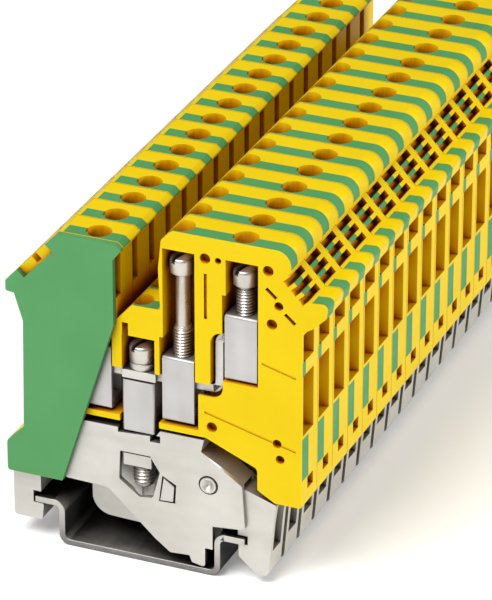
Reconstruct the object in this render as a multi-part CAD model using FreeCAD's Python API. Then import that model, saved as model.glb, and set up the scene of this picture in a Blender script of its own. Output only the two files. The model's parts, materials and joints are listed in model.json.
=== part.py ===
"""A row of yellow-green protective-earth terminal blocks clipped on a 35 mm top-hat rail.

Frame, in millimetres: X runs across the rail, Y along the row of blocks and Z up. The origin
is on the underside of the rail, at the middle of its width and of its length. The first
block's open side faces -Y, and a cut-away end cover stands in front of its left half.
"""
import FreeCAD
import Part
import math
import os

# ---- the row -------------------------------------------------------------------------------
BLOCK_COUNT = 17
BLOCK_PITCH = 6.2
BLOCK_GAP = 0.1

# ---- the top-hat rail ----------------------------------------------------------------------
RAIL_WIDTH = 35.0
RAIL_HEIGHT = 7.5
RAIL_CHANNEL_WIDTH = 27.0
RAIL_SHEET = 1.0
RAIL_BEND_RADIUS = 0.8
RAIL_SLOT_LENGTH = 15.0
RAIL_SLOT_WIDTH = 6.2
RAIL_SLOT_PITCH = 25.0
RAIL_SLOT_COUNT = 4

# ---- the insulating housing ----------------------------------------------------------------
TOWER_TOP = 57.4
LEFT_TOWER_TOP = 53.9
VALLEY_FLOOR = 43.9
VALLEY_WIDTH = 7.2
RIGHT_FLANK = 26.8
LEFT_FLANK = -18.3
RIGHT_BASE = 14.9
LEFT_BASE = 11.9
FOOT_CEILING = 23.8
FLOOR_STRIP = 1.0
TOWER_CHAMFER = 1.8
SHOULDER_RADIUS = 2.4
MARKER_LOBE_REACH = 4.1
MARKER_LOBE_TOP = 49.8
LEFT_LOBE_REACH = 2.8
SOCKET_DEPTH = 1.2
SOCKET_RADIUS = 0.85
MARKER_GROOVE_WIDTH = 1.1
MARKER_GROOVE_DEPTH = 1.3
FRONT_WALL = 0.4
MOUTH_BELOW_LOBE = 5.7
UPPER_MOUTH_HEIGHT = 4.6
LOWER_MOUTH_HEIGHT = 10.4
RELIEF_WIDTH = 0.35
RELIEF_DEPTH = 0.15
WALL_SLOT_WIDTH = 1.8

# ---- the green inlay -----------------------------------------------------------------------
INLAY_START = 0.15
INLAY_WIDTH = 2.5
INLAY_DEPTH = 0.5

# ---- the current bar -----------------------------------------------------------------------
BAR_THICKNESS = 1.4
BAR_UNDERSIDE = 31.2
BAR_STEP = 9.0
BAR_LEFT_END = -10.6
BAR_RISER_GAP = 0.5
BAR_END_OVERHANG = 2.4

# ---- the clamps: a screw that turns in place and a cage that climbs it ---------------------
INNER_SCREW_X = 6.6
OUTER_SCREW_X = 16.8
LEFT_SCREW_X = -7.0
CAGE_LENGTH = 5.2
CAGE_HEIGHT = 10.8
CAGE_SIDE = 0.6
CAGE_BOTTOM = 1.5
CAGE_HEAD = 2.6
CAGE_WIRE_SPACE = 4.4
CAGE_LIFT = 3.0
CLAMP_THREAD_RADIUS = 1.5
CLAMP_THREAD_PITCH = 0.5
CLAMP_HEAD_RADIUS = 2.0
CLAMP_HEAD_HEIGHT = 2.9
CLAMP_HEAD_TOP = 52.8
LEFT_CLAMP_HEAD_TOP = 49.6
CLAMP_NECK_RADIUS = 1.1
INNER_NECK_BOTTOM = 41.0
SCREW_SLOT_WIDTH = 0.8
SCREW_SLOT_DEPTH = 1.1

# ---- the foot: bracket, nut, screw and sliding jaw -----------------------------------------
FOOT_SCREW_X = 0.0
FOOT_THREAD_RADIUS = 1.75
FOOT_THREAD_PITCH = 0.6
FOOT_THREAD_WALL = 0.35
FOOT_HEAD_RIM = 0.4
FOOT_HEAD_HEIGHT = 3.0
FOOT_SCREW_END = 12.4
FOOT_SCREW_LIFT = 1.5
WASHER_THICKNESS = 1.1
WASHER_RIM = 0.35
NUT_LENGTH = 5.3
NUT_BOTTOM = 22.3
BRACKET_SHEET = 0.9
BRACKET_RIGHT = 17.3
BRACKET_LEFT = -12.2
BRACKET_FRONT = 0.0
JAW_TRAVEL = 1.6
JAW_STEM_INSET = 0.9
JAW_STEM_WIDTH = 2.0
JAW_BOTTOM = 3.4
CLAW_REACH = 4.7
CLAW_FRONT = 0.7
CLAW_SETBACK = 0.5
CLAW_SLOT_BOTTOM = 5.6
RIVET_RADIUS = 1.3
TONGUE_BOTTOM = 16.3
LINE_WIDTH = 0.3
LINE_DEPTH = 0.5

# ---- the end cover -------------------------------------------------------------------------
COVER_SHEET = 1.0
COVER_GAP = 0.1
COVER_NOTCH_WIDTH = 7.0
COVER_NOTCH_DEPTH = 1.6

# ---- clearances ----------------------------------------------------------------------------
RUNNING_GAP = 0.05
SIDE_GAP = 0.15
POCKET_GAP = 0.3
METAL_FRONT = 0.3
RAIL_GAP = 0.25

# ---- sizes that follow from the values above -----------------------------------------------
ROW_LENGTH = BLOCK_COUNT * BLOCK_PITCH
HOUSING_DEPTH = BLOCK_PITCH - BLOCK_GAP
METAL_WIDTH = 2 * (FOOT_THREAD_RADIUS + FOOT_THREAD_WALL)
METAL_BACK = METAL_FRONT + METAL_WIDTH
BAR_WIDTH = METAL_WIDTH - 2 * (CAGE_SIDE + SIDE_GAP)
AXIS_Y = (METAL_FRONT + METAL_BACK) / 2
BAR_TOP = BAR_UNDERSIDE + BAR_THICKNESS
UPPER_BAR_UNDERSIDE = BAR_UNDERSIDE + BAR_STEP
UPPER_BAR_TOP = UPPER_BAR_UNDERSIDE + BAR_THICKNESS
WASHER_BOTTOM = BAR_TOP + RUNNING_GAP
FOOT_HEAD_BOTTOM = WASHER_BOTTOM + WASHER_THICKNESS + RUNNING_GAP
FOOT_HEAD_TOP = FOOT_HEAD_BOTTOM + FOOT_HEAD_HEIGHT
NUT_TOP = BAR_UNDERSIDE - POCKET_GAP
WELL_TOP = TOWER_TOP - 3.1
LEFT_WELL_TOP = LEFT_TOWER_TOP - 3.1
HALF_CAGE = CAGE_LENGTH / 2
TOWER_LEFT = INNER_SCREW_X - HALF_CAGE - 0.1
VALLEY_LEFT = TOWER_LEFT - VALLEY_WIDTH
BAR_RISER_X = OUTER_SCREW_X - HALF_CAGE - BAR_RISER_GAP - BAR_THICKNESS
FOOT_HEAD_RADIUS = FOOT_THREAD_RADIUS + FOOT_HEAD_RIM
WASHER_RADIUS = FOOT_THREAD_RADIUS + WASHER_RIM
BRACKET_BACK = METAL_BACK + POCKET_GAP
CLAW_BACK = HOUSING_DEPTH - CLAW_SETBACK
HALF_CHANNEL = RAIL_CHANNEL_WIDTH / 2
FLANGE_UNDERSIDE = RAIL_HEIGHT - RAIL_SHEET
FLANGE_EDGE = RAIL_WIDTH / 2
INSIDE_CHANNEL = HALF_CHANNEL - RAIL_SHEET - RAIL_GAP
JAW_STEM_RIGHT = -FLANGE_EDGE + JAW_STEM_INSET
Y_AXIS = FreeCAD.Vector(0, 1, 0)
Z_AXIS = FreeCAD.Vector(0, 0, 1)


def box(x0, x1, y0, y1, z0, z1):
    """A box between two corners."""
    return Part.makeBox(x1 - x0, y1 - y0, z1 - z0, FreeCAD.Vector(x0, y0, z0))


def upright(x, y, z0, z1, radius):
    """A cylinder that stands along Z."""
    return Part.makeCylinder(radius, z1 - z0, FreeCAD.Vector(x, y, z0), Z_AXIS)


def across(x, z, y0, y1, radius):
    """A cylinder that lies along Y."""
    return Part.makeCylinder(radius, y1 - y0, FreeCAD.Vector(x, y0, z), Y_AXIS)


def outline_wire(corners, y):
    """A closed wire in an XZ plane. A corner is (x, z) or (x, z, radius of its rounding)."""
    points = [FreeCAD.Vector(c[0], y, c[1]) for c in corners]
    radii = [c[2] if len(c) > 2 else 0.0 for c in corners]
    starts = []
    ends = []
    arcs = []
    for i, corner in enumerate(points):
        back = (points[i - 1] - corner).normalize()
        ahead = (points[(i + 1) % len(points)] - corner).normalize()
        if radii[i] == 0.0:
            starts.append(corner)
            ends.append(corner)
            arcs.append(None)
            continue
        half_angle = back.getAngle(ahead) / 2
        setback = radii[i] / math.tan(half_angle)
        first = corner + back * setback
        last = corner + ahead * setback
        centre = corner + (back + ahead).normalize() * (radii[i] / math.sin(half_angle))
        middle = centre + (corner - centre).normalize() * radii[i]
        starts.append(first)
        ends.append(last)
        arcs.append(Part.Arc(first, middle, last))
    edges = []
    for i, arc in enumerate(arcs):
        if arc is not None:
            edges.append(arc.toShape())
        following = starts[(i + 1) % len(points)]
        if ends[i].distanceToPoint(following) > 1e-6:
            edges.append(Part.LineSegment(ends[i], following).toShape())
    return Part.Wire(edges)


def slab(corners, y0, y1):
    """The outline, filled and extruded from y0 to y1."""
    face = Part.Face(outline_wire(corners, y0))
    return face.extrude(FreeCAD.Vector(0, y1 - y0, 0))


def fused(shapes):
    """One solid out of several that overlap."""
    whole = shapes[0]
    for shape in shapes[1:]:
        whole = whole.fuse(shape)
    return whole.removeSplitter()


def placed(shape, index):
    """A copy of a block's piece in the place of that block."""
    copy = shape.copy()
    copy.translate(FreeCAD.Vector(0, index * BLOCK_PITCH - ROW_LENGTH / 2, 0))
    return copy


# ---- outlines ------------------------------------------------------------------------------
LEFT_SLOPE_TOP = (-12.4, LEFT_TOWER_TOP)
LEFT_SLOPE_FOOT = (LEFT_FLANK - LEFT_LOBE_REACH, LEFT_TOWER_TOP - 9.3)
RIGHT_SLOPE_TOP = (RIGHT_FLANK - 2.4, TOWER_TOP - 3.7)
RIGHT_SLOPE_FOOT = (RIGHT_FLANK + 1.2, MARKER_LOBE_TOP)


def housing_left_edge():
    """The left side of a housing, from its foot up to the left tower's slope."""
    return [
        (LEFT_FLANK - 3.2, LEFT_BASE, 0.5),
        (LEFT_FLANK - 3.2, LEFT_BASE + 5.2, 1.2),
        (LEFT_FLANK - 0.3, LEFT_BASE + 8.0, 1.0),
        (LEFT_FLANK, LEFT_TOWER_TOP - 15.7),
        (LEFT_FLANK - 1.4, LEFT_TOWER_TOP - 11.2),
        (LEFT_FLANK - LEFT_LOBE_REACH, LEFT_TOWER_TOP - 11.0, 0.3),
        (LEFT_SLOPE_FOOT[0], LEFT_SLOPE_FOOT[1], 0.3),
        (LEFT_SLOPE_TOP[0], LEFT_SLOPE_TOP[1], 0.4),
    ]


def left_tower_lip():
    """The overhanging lip of the left tower, above the valley."""
    return [
        (VALLEY_LEFT + 0.4, LEFT_TOWER_TOP, 0.3),
        (VALLEY_LEFT + 1.4, LEFT_TOWER_TOP - 0.8, 0.3),
        (VALLEY_LEFT, LEFT_TOWER_TOP - 2.6),
    ]


def housing_corners():
    """The side view of a housing, clockwise from its left foot."""
    valley = [
        (VALLEY_LEFT, VALLEY_FLOOR - 2.9),
        (VALLEY_LEFT + 2.5, VALLEY_FLOOR - 0.1),
        (TOWER_LEFT, VALLEY_FLOOR),
    ]
    tower = [
        (TOWER_LEFT - 0.3, TOWER_TOP - 6.6),
        (TOWER_LEFT + 0.2, TOWER_TOP - TOWER_CHAMFER),
        (TOWER_LEFT + 0.2 + TOWER_CHAMFER, TOWER_TOP, 0.4),
        (RIGHT_FLANK - 1.9, TOWER_TOP, SHOULDER_RADIUS),
        (RIGHT_FLANK - 1.9, TOWER_TOP - 3.2),
    ]
    lobe = [
        RIGHT_SLOPE_TOP,
        RIGHT_SLOPE_FOOT,
        (RIGHT_FLANK + MARKER_LOBE_REACH, MARKER_LOBE_TOP + 0.2, 0.8),
        (RIGHT_FLANK + MARKER_LOBE_REACH - 0.4, MARKER_LOBE_TOP - 2.2, 0.3),
        (RIGHT_FLANK + 1.6, MARKER_LOBE_TOP - 4.2, 0.5),
        (RIGHT_FLANK, MARKER_LOBE_TOP - 5.2, 0.3),
    ]
    base = [
        (RIGHT_FLANK, RIGHT_BASE, 0.4),
        (RIGHT_FLANK - 4.3, RIGHT_BASE),
        (RIGHT_FLANK - 7.2, RIGHT_BASE + 1.7, 0.5),
        (RIGHT_FLANK - 7.2, RIGHT_BASE + 5.3, 0.8),
        (RIGHT_FLANK - 15.6, FOOT_CEILING, 0.8),
        (BRACKET_LEFT + 3.0, FOOT_CEILING, 0.8),
        (BRACKET_LEFT - 1.0, LEFT_BASE + 5.0),
        (BRACKET_LEFT - 1.0, LEFT_BASE, 0.3),
    ]
    return housing_left_edge() + left_tower_lip() + valley + tower + lobe + base


def along(start, end, fraction):
    """A point part of the way from start to end."""
    return (start[0] + (end[0] - start[0]) * fraction, start[1] + (end[1] - start[1]) * fraction)


def groove_in_slope(start, end, fraction, width, depth, front, back):
    """A slot cut square into a sloping edge, from front to back along Y."""
    length = math.hypot(end[0] - start[0], end[1] - start[1])
    run = ((end[0] - start[0]) / length, (end[1] - start[1]) / length)
    inward = (-run[1], run[0]) if run[0] < 0 else (run[1], -run[0])
    middle = along(start, end, fraction)
    corners = []
    for side, level in ((-0.5, -1.0), (0.5, -1.0), (0.5, 1.0), (-0.5, 1.0)):
        shift = width * side
        reach = depth * level
        corners.append((middle[0] + run[0] * shift + inward[0] * reach,
                        middle[1] + run[1] * shift + inward[1] * reach))
    return slab(corners, front, back)


# ---- cuts in the housing -------------------------------------------------------------------
def clamp_pocket(screw_x, cage_bottom, well_top, tower_top, head_top):
    """The room of one clamp: cage pocket, screw well and round hole for a screwdriver."""
    half = HALF_CAGE + POCKET_GAP
    cage_room = box(screw_x - half, screw_x + half, -1.0, METAL_BACK + POCKET_GAP,
                    cage_bottom - POCKET_GAP, cage_bottom + CAGE_HEIGHT + CAGE_LIFT + POCKET_GAP)
    well = box(screw_x - CLAMP_HEAD_RADIUS - POCKET_GAP, screw_x + HALF_CAGE + POCKET_GAP, -1.0,
               METAL_BACK + POCKET_GAP, cage_bottom + CAGE_HEIGHT, well_top)
    access = upright(screw_x, AXIS_Y, head_top, tower_top + 1.0, CLAMP_HEAD_RADIUS)
    return [cage_room, well, access]


def wire_funnel(corners):
    """A wire entry from a flank to a cage, closed towards the open side by a thin wall."""
    return slab(corners, FRONT_WALL, METAL_BACK)


def upper_funnel():
    """The upper right wire entry: a mouth under the marker lobe that leads to the outer cage."""
    inner_x = OUTER_SCREW_X + HALF_CAGE
    low = UPPER_BAR_UNDERSIDE - CAGE_WIRE_SPACE
    mouth_top = MARKER_LOBE_TOP - MOUTH_BELOW_LOBE
    mouth_low = mouth_top - UPPER_MOUTH_HEIGHT
    return wire_funnel([
        (inner_x, low),
        (inner_x, UPPER_BAR_UNDERSIDE),
        (inner_x + 2.8, mouth_top),
        (RIGHT_FLANK + 1.0, mouth_top),
        (RIGHT_FLANK + 1.0, mouth_low),
        (inner_x + 3.3, mouth_low),
    ])


def lower_funnel():
    """The lower right wire entry, which leads under the outer cage to the inner cage."""
    inner_x = INNER_SCREW_X + HALF_CAGE
    low = BAR_UNDERSIDE - CAGE_WIRE_SPACE
    mouth_x = OUTER_SCREW_X + HALF_CAGE + 1.4
    return wire_funnel([
        (inner_x, low),
        (inner_x, BAR_UNDERSIDE),
        (mouth_x, BAR_UNDERSIDE + 1.0),
        (mouth_x + 2.0, low + LOWER_MOUTH_HEIGHT),
        (RIGHT_FLANK + 1.0, low + LOWER_MOUTH_HEIGHT),
        (RIGHT_FLANK + 1.0, low + 0.4),
        (mouth_x + 2.0, low),
    ])


def left_funnel():
    """The wire entry of the left side."""
    inner_x = LEFT_SCREW_X - HALF_CAGE
    low = BAR_UNDERSIDE - CAGE_WIRE_SPACE
    return wire_funnel([
        (inner_x, low),
        (LEFT_FLANK - 1.0, low - 0.4),
        (LEFT_FLANK - 1.0, BAR_UNDERSIDE + 2.0),
        (inner_x, BAR_UNDERSIDE),
    ])


def bar_corners(margin):
    """The side view of the current bar, grown by a margin."""
    thick = BAR_THICKNESS
    riser_right = BAR_RISER_X + thick
    end_x = OUTER_SCREW_X + BAR_END_OVERHANG
    return [
        (BAR_LEFT_END - margin, BAR_UNDERSIDE - margin),
        (riser_right + margin, BAR_UNDERSIDE - margin, 1.8),
        (riser_right + margin, UPPER_BAR_UNDERSIDE - margin, 0.4),
        (end_x + margin, UPPER_BAR_UNDERSIDE - margin),
        (end_x + margin, UPPER_BAR_TOP + margin),
        (BAR_RISER_X - margin, UPPER_BAR_TOP + margin, 1.8),
        (BAR_RISER_X - margin, BAR_TOP + margin, 0.4),
        (BAR_LEFT_END - margin, BAR_TOP + margin),
    ]


def foot_cuts():
    """The hall round the foot nut, the room of the foot screw's head and its access hole."""
    hall = box(LEFT_SCREW_X - HALF_CAGE - POCKET_GAP, INNER_SCREW_X + HALF_CAGE + 0.8, -1.0,
               METAL_BACK + POCKET_GAP, FOOT_CEILING + FLOOR_STRIP, BAR_TOP + POCKET_GAP)
    neck = box(FOOT_SCREW_X - NUT_LENGTH / 2 - POCKET_GAP, FOOT_SCREW_X + NUT_LENGTH / 2 + 0.9,
               -1.0, METAL_BACK + POCKET_GAP, NUT_BOTTOM - 3.0, BAR_UNDERSIDE)
    raised_top = FOOT_HEAD_TOP + FOOT_SCREW_LIFT
    head_room = box(FOOT_SCREW_X - FOOT_HEAD_RADIUS - 0.35, FOOT_SCREW_X + FOOT_HEAD_RADIUS + 0.75,
                    -1.0, METAL_BACK + POCKET_GAP, BAR_UNDERSIDE, raised_top + POCKET_GAP)
    access = upright(FOOT_SCREW_X, AXIS_Y, FOOT_HEAD_TOP, VALLEY_FLOOR + 1.0, FOOT_HEAD_RADIUS - 0.35)
    side_slot = box(VALLEY_LEFT + 0.9, VALLEY_LEFT + 1.9, -1.0, 2.0,
                    FOOT_HEAD_TOP - 3.5, VALLEY_FLOOR - 3.2)
    return [hall, neck, head_room, access, side_slot]


def jaw_cut():
    """The room in the left foot where the jaw's stem slides."""
    left = JAW_STEM_RIGHT - JAW_STEM_WIDTH - JAW_TRAVEL - POCKET_GAP
    return box(left, BRACKET_LEFT + 0.2, METAL_FRONT - POCKET_GAP, METAL_BACK + POCKET_GAP,
               LEFT_BASE - 1.0, LEFT_BASE + 5.9)


def face_details():
    """Sockets and slots in the open side of a housing."""
    cuts = []
    sockets = [
        (TOWER_LEFT + 7.3, TOWER_TOP - 3.5, SOCKET_RADIUS),
        (TOWER_LEFT + 9.4, TOWER_TOP - 3.5, SOCKET_RADIUS * 0.6),
        (RIGHT_FLANK - 5.5, TOWER_TOP - 3.6, SOCKET_RADIUS),
        (RIGHT_FLANK - 3.8, MARKER_LOBE_TOP - 1.5, SOCKET_RADIUS * 0.85),
        (RIGHT_FLANK - 4.9, MARKER_LOBE_TOP - 4.7, SOCKET_RADIUS),
        (RIGHT_FLANK - 4.0, FOOT_CEILING + 1.4, SOCKET_RADIUS * 0.85),
        (RIGHT_FLANK - 14.6, FOOT_CEILING + 2.0, SOCKET_RADIUS),
        (RIGHT_FLANK - 3.5, FOOT_CEILING - 1.2, SOCKET_RADIUS * 0.85),
    ]
    for x, z, radius in sockets:
        cuts.append(across(x, z, -1.0, SOCKET_DEPTH, radius))
    groove_x = TOWER_LEFT + 7.1
    cuts.append(box(groove_x, groove_x + 0.5, -1.0, 0.5, VALLEY_FLOOR, TOWER_TOP - 6.0))
    for x, z in ((RIGHT_FLANK - 5.0, MARKER_LOBE_TOP + 0.4), (RIGHT_FLANK - 2.0, MARKER_LOBE_TOP - 3.3)):
        cuts.append(slab([(x - 1.0, z + 0.5), (x - 0.6, z + 0.9), (x + 1.0, z - 0.5),
                          (x + 0.6, z - 0.9)], -1.0, 0.8))
    return cuts


def relief_lines():
    """Shallow lines on the open side, over the edges of the wire entries behind it."""
    low = BAR_UNDERSIDE - CAGE_WIRE_SPACE
    runs = [
        ((INNER_SCREW_X + HALF_CAGE + 1.8, low + 1.2), (RIGHT_FLANK - 1.0, low - 2.6)),
        ((OUTER_SCREW_X + HALF_CAGE + 0.9, low + LOWER_MOUTH_HEIGHT + 0.9),
         (RIGHT_FLANK - 1.0, low + LOWER_MOUTH_HEIGHT - 0.6)),
    ]
    lines = []
    for (x0, z0), (x1, z1) in runs:
        lines.append(slab([(x0, z0), (x1, z1), (x1, z1 + RELIEF_WIDTH), (x0, z0 + RELIEF_WIDTH)],
                          -1.0, RELIEF_DEPTH))
    return lines


def cover_sockets():
    """Places of the two pegs that hold the end cover."""
    return [(LEFT_SCREW_X - 5.5, LEFT_TOWER_TOP - 7.0), (LEFT_FLANK + 2.3, LEFT_BASE + 9.5)]


def flank_details():
    """Small recesses on the right flank and the slot in the valley's left wall."""
    pocket = slab([(RIGHT_FLANK - 2.0, RIGHT_BASE + 2.4), (RIGHT_FLANK + 1.0, RIGHT_BASE + 2.4),
                   (RIGHT_FLANK + 1.0, RIGHT_BASE + 5.4)], METAL_BACK - 2.2, METAL_BACK)
    wall_slot = box(VALLEY_LEFT - 1.0, VALLEY_LEFT + 2.0, -1.0, WALL_SLOT_WIDTH,
                    VALLEY_FLOOR + 0.6, LEFT_TOWER_TOP - 2 * INLAY_DEPTH)
    return [pocket, wall_slot]


def housing_body():
    """A housing before its green inlay is let in."""
    body = slab(housing_corners(), 0.0, HOUSING_DEPTH)
    cuts = []
    lower_cage_bottom = BAR_UNDERSIDE - CAGE_WIRE_SPACE - CAGE_BOTTOM
    upper_cage_bottom = lower_cage_bottom + BAR_STEP
    cuts += clamp_pocket(INNER_SCREW_X, lower_cage_bottom, WELL_TOP, TOWER_TOP, CLAMP_HEAD_TOP)
    cuts += clamp_pocket(OUTER_SCREW_X, upper_cage_bottom, WELL_TOP, TOWER_TOP, CLAMP_HEAD_TOP)
    cuts += clamp_pocket(LEFT_SCREW_X, lower_cage_bottom, LEFT_WELL_TOP, LEFT_TOWER_TOP,
                         LEFT_CLAMP_HEAD_TOP)
    cuts += [upper_funnel(), lower_funnel(), left_funnel(), jaw_cut()]
    cuts.append(slab(bar_corners(POCKET_GAP), -1.0, METAL_BACK + POCKET_GAP))
    cuts += foot_cuts() + face_details() + relief_lines() + flank_details()
    for x, z in cover_sockets():
        cuts.append(across(x, z, -1.0, SOCKET_DEPTH + COVER_GAP, SOCKET_RADIUS + RUNNING_GAP))
    for fraction in (0.17, 0.5, 0.83):
        for top, foot in ((RIGHT_SLOPE_TOP, RIGHT_SLOPE_FOOT), (LEFT_SLOPE_TOP, LEFT_SLOPE_FOOT)):
            cuts.append(groove_in_slope(top, foot, fraction, MARKER_GROOVE_WIDTH, MARKER_GROOVE_DEPTH,
                                        -1.0, METAL_BACK))
    return body.cut(cuts)


def inlay_regions():
    """Boxes that pick the stretches of the housing's edge where green is let in."""
    low = INLAY_START
    high = INLAY_START + INLAY_WIDTH
    margin = 2.0
    slopes = []
    for top, foot, start, end in ((LEFT_SLOPE_TOP, LEFT_SLOPE_FOOT, 0.25, 0.43),
                                  (LEFT_SLOPE_TOP, LEFT_SLOPE_FOOT, 0.58, 0.76),
                                  (RIGHT_SLOPE_TOP, RIGHT_SLOPE_FOOT, 0.2, 0.47),
                                  (RIGHT_SLOPE_TOP, RIGHT_SLOPE_FOOT, 0.53, 0.8)):
        x0, z0 = along(top, foot, end)
        x1, z1 = along(top, foot, start)
        slopes.append(box(min(x0, x1), max(x0, x1), low, high, z0 - INLAY_DEPTH, z1 + INLAY_DEPTH))
    return slopes + [
        box(LEFT_SLOPE_TOP[0] + 0.5, VALLEY_LEFT + margin, low, high,
            LEFT_TOWER_TOP - 0.9, LEFT_TOWER_TOP + margin),
        box(VALLEY_LEFT + 2.6, TOWER_LEFT - 0.5, low, high, VALLEY_FLOOR - margin, VALLEY_FLOOR + margin),
        box(TOWER_LEFT + TOWER_CHAMFER, RIGHT_FLANK, low, high, TOWER_TOP - 2.9, TOWER_TOP + margin),
        box(RIGHT_FLANK + 1.4, RIGHT_FLANK + MARKER_LOBE_REACH + margin, low, high,
            MARKER_LOBE_TOP - 3.0, MARKER_LOBE_TOP + margin),
        box(RIGHT_FLANK - margin, RIGHT_FLANK + margin, low, high, RIGHT_BASE + 4.6,
            BAR_UNDERSIDE - CAGE_WIRE_SPACE - 0.2),
        box(RIGHT_FLANK - margin, RIGHT_FLANK + margin, low, low + INLAY_WIDTH / 2,
            BAR_UNDERSIDE - CAGE_WIRE_SPACE + LOWER_MOUTH_HEIGHT,
            MARKER_LOBE_TOP - MOUTH_BELOW_LOBE - UPPER_MOUTH_HEIGHT),
        box(LEFT_FLANK - margin, LEFT_FLANK + margin, low, high, LEFT_BASE + 9.5,
            BAR_UNDERSIDE - CAGE_WIRE_SPACE - 1.4),
        box(LEFT_FLANK - margin, LEFT_FLANK + margin, low, high, BAR_UNDERSIDE + 2.6,
            LEFT_TOWER_TOP - 12.5),
    ]


def housing_skin():
    """The outermost layer of a housing's edge, as deep as the green inlay."""
    wire = outline_wire(housing_corners(), 0.0)
    outer = Part.Face(wire)
    inner = outer.makeOffset2D(-INLAY_DEPTH)
    depth = FreeCAD.Vector(0, HOUSING_DEPTH, 0)
    return outer.extrude(depth).cut(inner.extrude(depth))


def inlay_solids(body):
    """The green stretches of one block, cut to the housing's own shape."""
    skin = housing_skin().common(body)
    pieces = []
    for region in inlay_regions():
        pieces += skin.common(region).Solids
    return pieces


# ---- metal pieces --------------------------------------------------------------------------
def current_bar():
    """The bar that joins the three clamps and the foot, wider round the foot screw."""
    strip = slab(bar_corners(0.0), AXIS_Y - BAR_WIDTH / 2, AXIS_Y + BAR_WIDTH / 2)
    pad = box(FOOT_SCREW_X - 2.7, FOOT_SCREW_X + 2.9, METAL_FRONT, METAL_BACK, BAR_UNDERSIDE, BAR_TOP)
    hole = upright(FOOT_SCREW_X, AXIS_Y, BAR_UNDERSIDE - 1.0, BAR_TOP + 1.0,
                   FOOT_THREAD_RADIUS + RUNNING_GAP)
    return strip.fuse(pad).removeSplitter().cut(hole)


def clamp_cage(screw_x, bottom):
    """A cage with a window for the bar and the wire, and a threaded head for its screw."""
    block = box(screw_x - HALF_CAGE, screw_x + HALF_CAGE, METAL_FRONT, METAL_BACK,
                bottom, bottom + CAGE_HEIGHT)
    edges = [e for e in block.Edges if abs(e.tangentAt(e.FirstParameter).x) > 0.9]
    block = block.makeFillet(0.45, edges)
    window = box(screw_x - CAGE_LENGTH, screw_x + CAGE_LENGTH, METAL_FRONT + CAGE_SIDE,
                 METAL_BACK - CAGE_SIDE, bottom + CAGE_BOTTOM, bottom + CAGE_HEIGHT - CAGE_HEAD)
    bore = upright(screw_x, AXIS_Y, bottom + CAGE_HEIGHT - CAGE_HEAD - 1.0,
                   bottom + CAGE_HEIGHT + 1.0, CLAMP_THREAD_RADIUS + RUNNING_GAP)
    return block.cut([window, bore])


def threaded_rod(x, low, high, radius, pitch):
    """A rod whose thread is drawn as a stack of ridges."""
    depth = pitch * 0.45
    tip = radius - depth
    points = [FreeCAD.Vector(0, 0, low), FreeCAD.Vector(tip, 0, low)]
    turns = int((high - low) / pitch)
    for turn in range(turns):
        z = low + turn * pitch
        points.append(FreeCAD.Vector(radius, 0, z + pitch * 0.42))
        points.append(FreeCAD.Vector(radius, 0, z + pitch * 0.58))
        points.append(FreeCAD.Vector(tip, 0, z + pitch))
    points.append(FreeCAD.Vector(tip, 0, high))
    points.append(FreeCAD.Vector(0, 0, high))
    points.append(points[0])
    distinct = [points[0]]
    for point in points[1:]:
        if point.distanceToPoint(distinct[-1]) > 1e-6:
            distinct.append(point)
    profile = Part.Face(Part.makePolygon(distinct))
    rod = profile.revolve(FreeCAD.Vector(0, 0, 0), Z_AXIS, 360)
    rod.translate(FreeCAD.Vector(x, AXIS_Y, 0))
    return rod


def screw_head(x, bottom, height, radius):
    """A cheese head with a rounded rim and a straight slot across it."""
    head = upright(x, AXIS_Y, bottom, bottom + height, radius)
    rim = [e for e in head.Edges if e.BoundBox.ZMin > bottom + height - 0.01 and len(e.Vertexes) == 1]
    head = head.makeFillet(min(0.5, height / 4), rim)
    slot = box(x - radius - 1.0, x + radius + 1.0, AXIS_Y - SCREW_SLOT_WIDTH / 2,
               AXIS_Y + SCREW_SLOT_WIDTH / 2, bottom + height - SCREW_SLOT_DEPTH, bottom + height + 1.0)
    slot.rotate(FreeCAD.Vector(x, AXIS_Y, 0), Z_AXIS, 65)
    return head.cut(slot)


def clamp_screw(x, bar_top, head_top, neck_bottom):
    """A clamp screw: its end stands on the bar, and a plain neck lies above its thread."""
    head_bottom = head_top - CLAMP_HEAD_HEIGHT
    rod = threaded_rod(x, bar_top + RUNNING_GAP, neck_bottom, CLAMP_THREAD_RADIUS, CLAMP_THREAD_PITCH)
    neck = upright(x, AXIS_Y, neck_bottom - 0.5, head_bottom + 0.5, CLAMP_NECK_RADIUS)
    head = screw_head(x, head_bottom, CLAMP_HEAD_HEIGHT, CLAMP_HEAD_RADIUS)
    return fused([rod, neck, head])


def foot_screw():
    """The screw of the rail foot."""
    rod = threaded_rod(FOOT_SCREW_X, FOOT_SCREW_END, FOOT_HEAD_BOTTOM, FOOT_THREAD_RADIUS,
                       FOOT_THREAD_PITCH)
    joint = upright(FOOT_SCREW_X, AXIS_Y, FOOT_HEAD_BOTTOM - 0.5, FOOT_HEAD_BOTTOM + 0.5, 1.4)
    head = screw_head(FOOT_SCREW_X, FOOT_HEAD_BOTTOM, FOOT_HEAD_HEIGHT, FOOT_HEAD_RADIUS)
    return fused([rod, joint, head])


def foot_washer():
    """The captive washer under the foot screw's head."""
    ring = upright(FOOT_SCREW_X, AXIS_Y, WASHER_BOTTOM, WASHER_BOTTOM + WASHER_THICKNESS, WASHER_RADIUS)
    hole = upright(FOOT_SCREW_X, AXIS_Y, WASHER_BOTTOM - 1.0, FOOT_HEAD_BOTTOM + 1.0,
                   FOOT_THREAD_RADIUS + RUNNING_GAP)
    return ring.cut(hole)


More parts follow.
